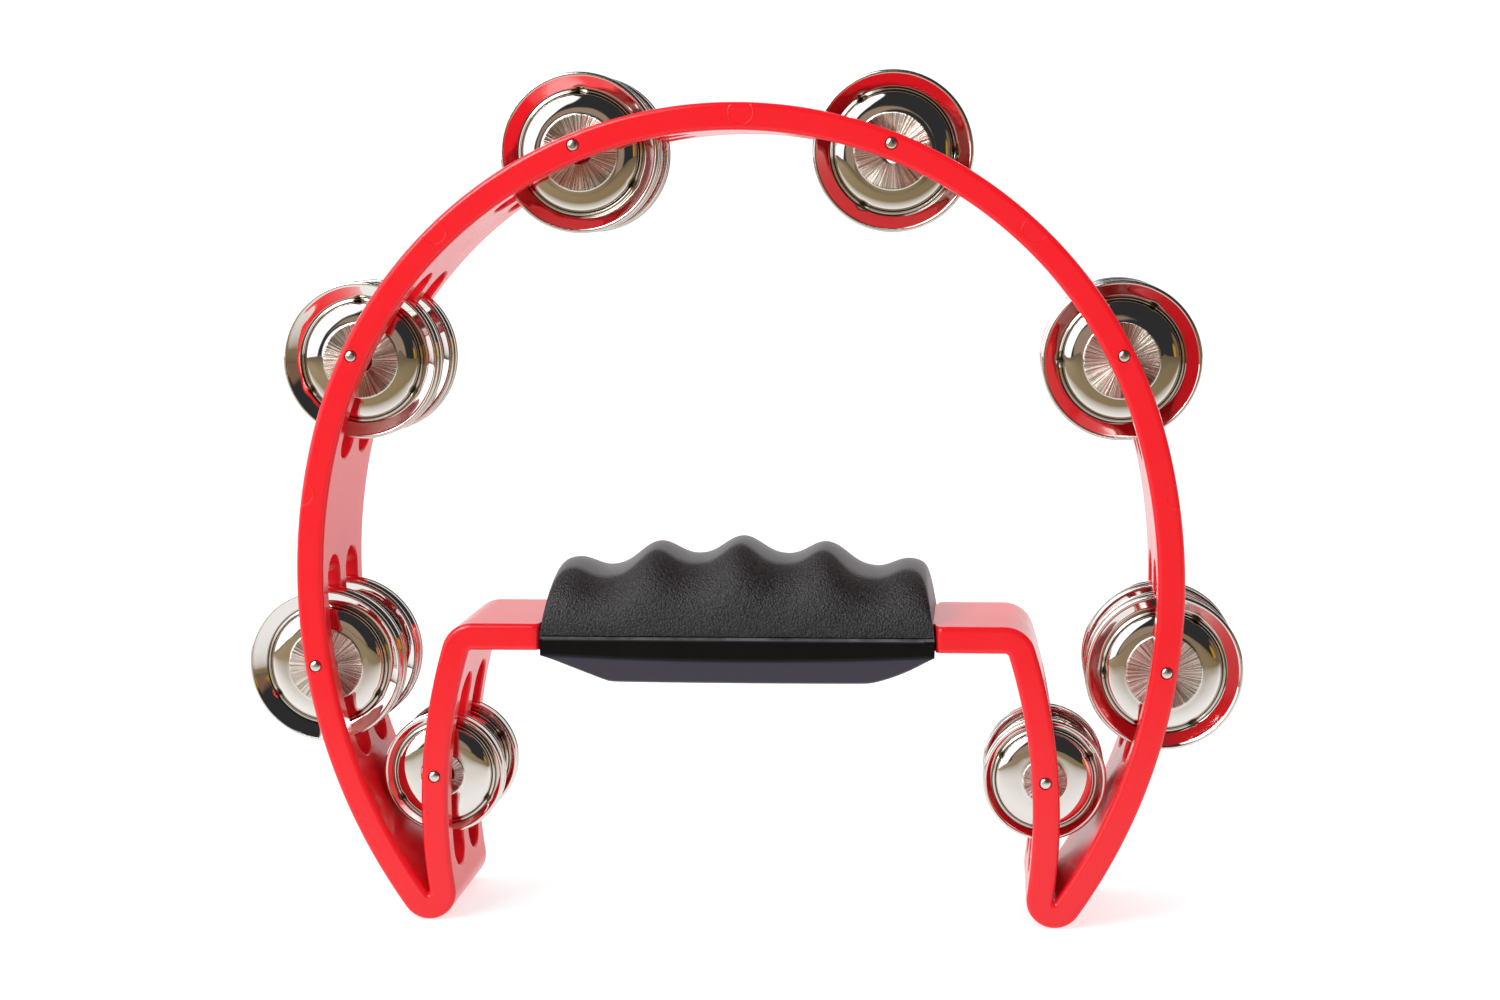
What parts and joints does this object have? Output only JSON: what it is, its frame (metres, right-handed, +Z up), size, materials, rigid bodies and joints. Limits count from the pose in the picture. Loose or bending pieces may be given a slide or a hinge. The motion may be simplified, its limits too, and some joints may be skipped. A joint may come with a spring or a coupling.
{
  "type": "tambourine",
  "caption": "Half-moon tambourine: a moulded arch with two rows of paired metal jingles on pins and a finger-shaped grip across its open side.",
  "frame": {"origin": "middle of the base, on the surface that the two tips stand on, halfway through the frame's depth", "axes": "+X to the player's right across the arch, +Y from the front face with the pin heads to the rear face, +Z up to the crown"},
  "size_m": [0.2902, 0.0455, 0.2454],
  "materials": {
    "frame_plastic": "glossy moulded plastic",
    "grip_plastic": "fine leather-grained matte moulding",
    "jingle_plate": "bright nickel plate over pressed steel",
    "pin_steel": "polished steel"
  },
  "bodies": {
    "frame": {"frame": "frame_plastic", "finger_grip": "grip_plastic", "palm_grip": "grip_plastic", "pin_crown_left": "pin_steel", "pin_crown_right": "pin_steel", "pin_shoulder_left": "pin_steel", "pin_shoulder_right": "pin_steel", "pin_side_left": "pin_steel", "pin_side_right": "pin_steel", "pin_leg_left": "pin_steel", "pin_leg_right": "pin_steel"},
    "jingle_crown_left_1": {"jingle_crown_left_1": "jingle_plate"},
    "jingle_crown_left_2": {"jingle_crown_left_2": "jingle_plate"},
    "jingle_crown_left_3": {"jingle_crown_left_3": "jingle_plate"},
    "jingle_crown_left_4": {"jingle_crown_left_4": "jingle_plate"},
    "jingle_crown_right_1": {"jingle_crown_right_1": "jingle_plate"},
    "jingle_crown_right_2": {"jingle_crown_right_2": "jingle_plate"},
    "jingle_crown_right_3": {"jingle_crown_right_3": "jingle_plate"},
    "jingle_crown_right_4": {"jingle_crown_right_4": "jingle_plate"},
    "jingle_shoulder_left_1": {"jingle_shoulder_left_1": "jingle_plate"},
    "jingle_shoulder_left_2": {"jingle_shoulder_left_2": "jingle_plate"},
    "jingle_shoulder_left_3": {"jingle_shoulder_left_3": "jingle_plate"},
    "jingle_shoulder_left_4": {"jingle_shoulder_left_4": "jingle_plate"},
    "jingle_shoulder_right_1": {"jingle_shoulder_right_1": "jingle_plate"},
    "jingle_shoulder_right_2": {"jingle_shoulder_right_2": "jingle_plate"},
    "jingle_shoulder_right_3": {"jingle_shoulder_right_3": "jingle_plate"},
    "jingle_shoulder_right_4": {"jingle_shoulder_right_4": "jingle_plate"},
    "jingle_side_left_1": {"jingle_side_left_1": "jingle_plate"},
    "jingle_side_left_2": {"jingle_side_left_2": "jingle_plate"},
    "jingle_side_left_3": {"jingle_side_left_3": "jingle_plate"},
    "jingle_side_left_4": {"jingle_side_left_4": "jingle_plate"},
    "jingle_side_right_1": {"jingle_side_right_1": "jingle_plate"},
    "jingle_side_right_2": {"jingle_side_right_2": "jingle_plate"},
    "jingle_side_right_3": {"jingle_side_right_3": "jingle_plate"},
    "jingle_side_right_4": {"jingle_side_right_4": "jingle_plate"},
    "jingle_leg_left_1": {"jingle_leg_left_1": "jingle_plate"},
    "jingle_leg_left_2": {"jingle_leg_left_2": "jingle_plate"},
    "jingle_leg_left_3": {"jingle_leg_left_3": "jingle_plate"},
    "jingle_leg_left_4": {"jingle_leg_left_4": "jingle_plate"},
    "jingle_leg_right_1": {"jingle_leg_right_1": "jingle_plate"},
    "jingle_leg_right_2": {"jingle_leg_right_2": "jingle_plate"},
    "jingle_leg_right_3": {"jingle_leg_right_3": "jingle_plate"},
    "jingle_leg_right_4": {"jingle_leg_right_4": "jingle_plate"}
  },
  "joints": [
    {"name": "slide_crown_left_1", "type": "slide", "parent": "frame", "child": "jingle_crown_left_1", "axis": [0, 1, 0], "range_m": [-0.0037, 0.0003]},
    {"name": "slide_crown_left_2", "type": "slide", "parent": "frame", "child": "jingle_crown_left_2", "axis": [0, 1, 0], "range_m": [-0.0003, 0.0007]},
    {"name": "slide_crown_left_3", "type": "slide", "parent": "frame", "child": "jingle_crown_left_3", "axis": [0, 1, 0], "range_m": [-0.0037, 0.0003]},
    {"name": "slide_crown_left_4", "type": "slide", "parent": "frame", "child": "jingle_crown_left_4", "axis": [0, 1, 0], "range_m": [-0.0003, 0.0007]},
    {"name": "slide_crown_right_1", "type": "slide", "parent": "frame", "child": "jingle_crown_right_1", "axis": [0, 1, 0], "range_m": [-0.0037, 0.0003]},
    {"name": "slide_crown_right_2", "type": "slide", "parent": "frame", "child": "jingle_crown_right_2", "axis": [0, 1, 0], "range_m": [-0.0003, 0.0007]},
    {"name": "slide_crown_right_3", "type": "slide", "parent": "frame", "child": "jingle_crown_right_3", "axis": [0, 1, 0], "range_m": [-0.0037, 0.0003]},
    {"name": "slide_crown_right_4", "type": "slide", "parent": "frame", "child": "jingle_crown_right_4", "axis": [0, 1, 0], "range_m": [-0.0003, 0.0007]},
    {"name": "slide_shoulder_left_1", "type": "slide", "parent": "frame", "child": "jingle_shoulder_left_1", "axis": [0, 1, 0], "range_m": [-0.0037, 0.0003]},
    {"name": "slide_shoulder_left_2", "type": "slide", "parent": "frame", "child": "jingle_shoulder_left_2", "axis": [0, 1, 0], "range_m": [-0.0003, 0.0007]},
    {"name": "slide_shoulder_left_3", "type": "slide", "parent": "frame", "child": "jingle_shoulder_left_3", "axis": [0, 1, 0], "range_m": [-0.0037, 0.0003]},
    {"name": "slide_shoulder_left_4", "type": "slide", "parent": "frame", "child": "jingle_shoulder_left_4", "axis": [0, 1, 0], "range_m": [-0.0003, 0.0007]},
    {"name": "slide_shoulder_right_1", "type": "slide", "parent": "frame", "child": "jingle_shoulder_right_1", "axis": [0, 1, 0], "range_m": [-0.0037, 0.0003]},
    {"name": "slide_shoulder_right_2", "type": "slide", "parent": "frame", "child": "jingle_shoulder_right_2", "axis": [0, 1, 0], "range_m": [-0.0003, 0.0007]},
    {"name": "slide_shoulder_right_3", "type": "slide", "parent": "frame", "child": "jingle_shoulder_right_3", "axis": [0, 1, 0], "range_m": [-0.0037, 0.0003]},
    {"name": "slide_shoulder_right_4", "type": "slide", "parent": "frame", "child": "jingle_shoulder_right_4", "axis": [0, 1, 0], "range_m": [-0.0003, 0.0007]},
    {"name": "slide_side_left_1", "type": "slide", "parent": "frame", "child": "jingle_side_left_1", "axis": [0, 1, 0], "range_m": [-0.0037, 0.0003]},
    {"name": "slide_side_left_2", "type": "slide", "parent": "frame", "child": "jingle_side_left_2", "axis": [0, 1, 0], "range_m": [-0.0003, 0.0007]},
    {"name": "slide_side_left_3", "type": "slide", "parent": "frame", "child": "jingle_side_left_3", "axis": [0, 1, 0], "range_m": [-0.0037, 0.0003]},
    {"name": "slide_side_left_4", "type": "slide", "parent": "frame", "child": "jingle_side_left_4", "axis": [0, 1, 0], "range_m": [-0.0003, 0.0007]},
    {"name": "slide_side_right_1", "type": "slide", "parent": "frame", "child": "jingle_side_right_1", "axis": [0, 1, 0], "range_m": [-0.0037, 0.0003]},
    {"name": "slide_side_right_2", "type": "slide", "parent": "frame", "child": "jingle_side_right_2", "axis": [0, 1, 0], "range_m": [-0.0003, 0.0007]},
    {"name": "slide_side_right_3", "type": "slide", "parent": "frame", "child": "jingle_side_right_3", "axis": [0, 1, 0], "range_m": [-0.0037, 0.0003]},
    {"name": "slide_side_right_4", "type": "slide", "parent": "frame", "child": "jingle_side_right_4", "axis": [0, 1, 0], "range_m": [-0.0003, 0.0007]},
    {"name": "slide_leg_left_1", "type": "slide", "parent": "frame", "child": "jingle_leg_left_1", "axis": [0, 1, 0], "range_m": [-0.0037, 0.0003]},
    {"name": "slide_leg_left_2", "type": "slide", "parent": "frame", "child": "jingle_leg_left_2", "axis": [0, 1, 0], "range_m": [-0.0003, 0.0007]},
    {"name": "slide_leg_left_3", "type": "slide", "parent": "frame", "child": "jingle_leg_left_3", "axis": [0, 1, 0], "range_m": [-0.0037, 0.0003]},
    {"name": "slide_leg_left_4", "type": "slide", "parent": "frame", "child": "jingle_leg_left_4", "axis": [0, 1, 0], "range_m": [-0.0003, 0.0007]},
    {"name": "slide_leg_right_1", "type": "slide", "parent": "frame", "child": "jingle_leg_right_1", "axis": [0, 1, 0], "range_m": [-0.0037, 0.0003]},
    {"name": "slide_leg_right_2", "type": "slide", "parent": "frame", "child": "jingle_leg_right_2", "axis": [0, 1, 0], "range_m": [-0.0003, 0.0007]},
    {"name": "slide_leg_right_3", "type": "slide", "parent": "frame", "child": "jingle_leg_right_3", "axis": [0, 1, 0], "range_m": [-0.0037, 0.0003]},
    {"name": "slide_leg_right_4", "type": "slide", "parent": "frame", "child": "jingle_leg_right_4", "axis": [0, 1, 0], "range_m": [-0.0003, 0.0007]}
  ]
}
